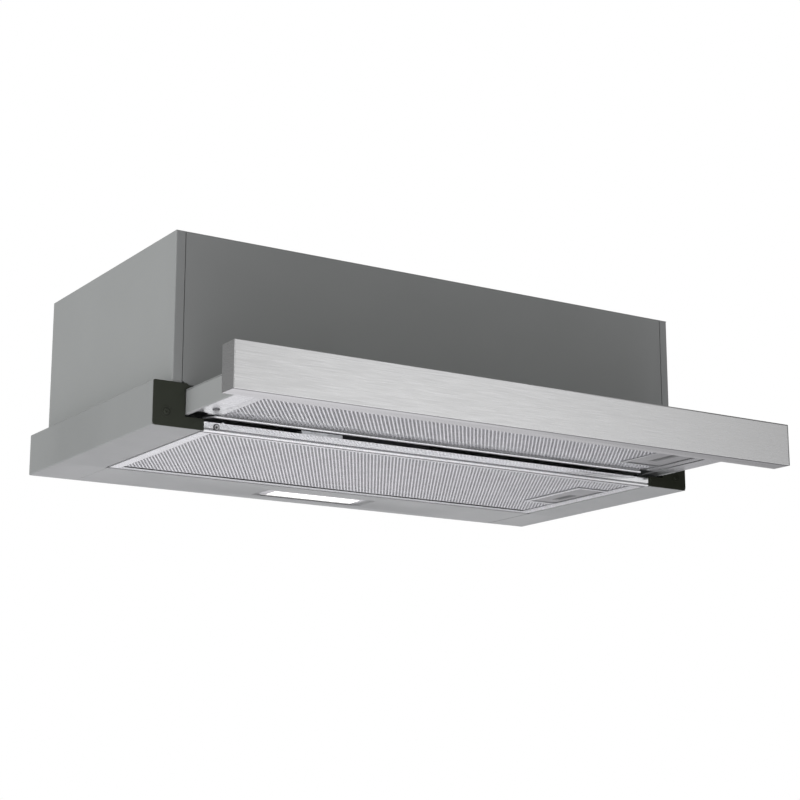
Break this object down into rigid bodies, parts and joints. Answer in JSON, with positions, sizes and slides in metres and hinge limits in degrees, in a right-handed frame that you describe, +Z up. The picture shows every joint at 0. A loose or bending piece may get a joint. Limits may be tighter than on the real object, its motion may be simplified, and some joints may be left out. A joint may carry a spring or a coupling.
{
  "type": "pull out range hood",
  "caption": "Built-in range hood: sheet metal body, hinged grease filter and lamp underneath, and a drawer with its own filter that slides out behind a brushed front strip.",
  "frame": {"origin": "under the middle of the hood with its drawer pulled out: the centre of the bounding box's bottom face, on the plane of the tray's underside", "axes": "+X to the right seen from the front, +Y from the front strip to the wall, +Z up; the tray's front face is at y = -0.065 m, its rear face at y = 0.215 m"},
  "size_m": [0.598, 0.43, 0.205],
  "materials": {
    "body_paint": "satin grey paint on sheet steel",
    "brushed_front": "brushed lengthwise",
    "bright_aluminium": "bright, lightly brushed",
    "filter_mesh": "bright perforated sheet",
    "latch_plate": "satin grey moulding",
    "zinc_steel": "zinc plated",
    "screw_steel": "zinc plated, cross recess",
    "cap_plastic": "fine grain, very dark olive grey",
    "black_plastic": "fine grain",
    "blower_plastic": "dark grey moulding",
    "motor_metal": "galvanised can",
    "white_plastic": "white moulding",
    "lamp_glow": "opal lens, lit",
    "circuit_board": "green solder mask",
    "button_plastic": "satin silver grey"
  },
  "bodies": {
    "hood": {"left_side_panel": "body_paint", "right_side_panel": "body_paint", "front_panel": "body_paint", "rear_panel": "body_paint", "top_panel": "body_paint", "tray_left_rail": "body_paint", "tray_right_rail": "body_paint", "tray_rear_rail": "body_paint", "front_crossbar": "bright_aluminium", "left_drawer_guide": "zinc_steel", "right_drawer_guide": "zinc_steel", "centre_glide": "zinc_steel", "motor_bracket": "zinc_steel", "crossbar_screw": "screw_steel", "blower_screws": "screw_steel", "collar_screws": "screw_steel", "flap_pins": "screw_steel", "left_corner_cap": "cap_plastic", "right_corner_cap": "cap_plastic", "outlet_collar": "cap_plastic", "corner_cap_screws": "black_plastic", "cable_gland": "black_plastic", "control_housing": "black_plastic", "blower_scroll": "blower_plastic", "blower_left_cover": "blower_plastic", "blower_right_cover": "blower_plastic", "inlet_rings": "blower_plastic", "motor": "motor_metal", "guide_pads": "white_plastic", "lamp_housing": "white_plastic", "terminal_box": "white_plastic", "terminal_box_lid": "white_plastic", "capacitor": "white_plastic", "lamp_lens": "lamp_glow", "lamp_led_board": "circuit_board", "control_board": "circuit_board"},
    "fan": {"fan_wheel": "blower_plastic", "fan_shaft": "screw_steel"},
    "left_flap": {"left_flap": "black_plastic"},
    "right_flap": {"right_flap": "black_plastic"},
    "light_button": {"light_button": "button_plastic"},
    "off_button": {"off_button": "button_plastic"},
    "speed_1_button": {"speed_1_button": "button_plastic"},
    "speed_2_button": {"speed_2_button": "button_plastic"},
    "speed_3_button": {"speed_3_button": "button_plastic"},
    "main_filter": {"main_filter_frame": "bright_aluminium", "main_filter_mesh": "filter_mesh", "main_filter_back_mesh": "filter_mesh"},
    "main_filter_latch": {"main_filter_latch": "latch_plate"},
    "drawer": {"fascia": "brushed_front", "fascia_support": "body_paint", "fascia_screws": "screw_steel", "drawer_left_rail": "body_paint", "drawer_right_rail": "body_paint", "drawer_cover": "body_paint", "drawer_back_rail": "bright_aluminium", "drawer_rail_screw": "screw_steel"},
    "drawer_filter": {"drawer_filter_frame": "bright_aluminium", "drawer_filter_mesh": "filter_mesh"},
    "drawer_filter_latch": {"drawer_filter_latch": "latch_plate"}
  },
  "joints": [
    {"name": "drawer_slide", "type": "slide", "parent": "hood", "child": "drawer", "axis": [0, 1, 0], "range_m": [0, 0.126]},
    {"name": "main_filter_swing", "type": "hinge", "parent": "hood", "child": "main_filter", "pos_m": [-0.2465, 0.04, 0.0044], "axis": [0, 1, 0], "range_deg": [0, 70]},
    {"name": "main_filter_latch_slide", "type": "slide", "parent": "main_filter", "child": "main_filter_latch", "axis": [-1, 0, 0], "range_m": [0, 0.0035], "stiffness_N_per_m": 300},
    {"name": "drawer_filter_swing", "type": "hinge", "parent": "drawer", "child": "drawer_filter", "pos_m": [-0.2436, -0.1244, 0.017], "axis": [0, -1, 0], "range_deg": [-60, 0]},
    {"name": "drawer_filter_latch_slide", "type": "slide", "parent": "drawer_filter", "child": "drawer_filter_latch", "axis": [-1, 0, 0], "range_m": [0, 0.0035], "stiffness_N_per_m": 300},
    {"name": "fan_spin", "type": "hinge", "parent": "hood", "child": "fan", "pos_m": [0, 0.075, 0.105], "axis": [1, 0, 0], "continuous": true},
    {"name": "left_flap_swing", "type": "hinge", "parent": "hood", "child": "left_flap", "pos_m": [-0.004, 0.086, 0.189], "axis": [0, 1, 0], "range_deg": [0, 80]},
    {"name": "right_flap_swing", "type": "hinge", "parent": "hood", "child": "right_flap", "pos_m": [0.004, 0.086, 0.189], "axis": [0, -1, 0], "range_deg": [0, 80]},
    {"name": "light_button_press", "type": "slide", "parent": "hood", "child": "light_button", "axis": [0, 1, 0], "range_m": [0, 0.0025], "stiffness_N_per_m": 400},
    {"name": "off_button_press", "type": "slide", "parent": "hood", "child": "off_button", "axis": [0, 1, 0], "range_m": [0, 0.0025], "stiffness_N_per_m": 400},
    {"name": "speed_1_button_press", "type": "slide", "parent": "hood", "child": "speed_1_button", "axis": [0, 1, 0], "range_m": [0, 0.0025], "stiffness_N_per_m": 400},
    {"name": "speed_2_button_press", "type": "slide", "parent": "hood", "child": "speed_2_button", "axis": [0, 1, 0], "range_m": [0, 0.0025], "stiffness_N_per_m": 400},
    {"name": "speed_3_button_press", "type": "slide", "parent": "hood", "child": "speed_3_button", "axis": [0, 1, 0], "range_m": [0, 0.0025], "stiffness_N_per_m": 400}
  ]
}
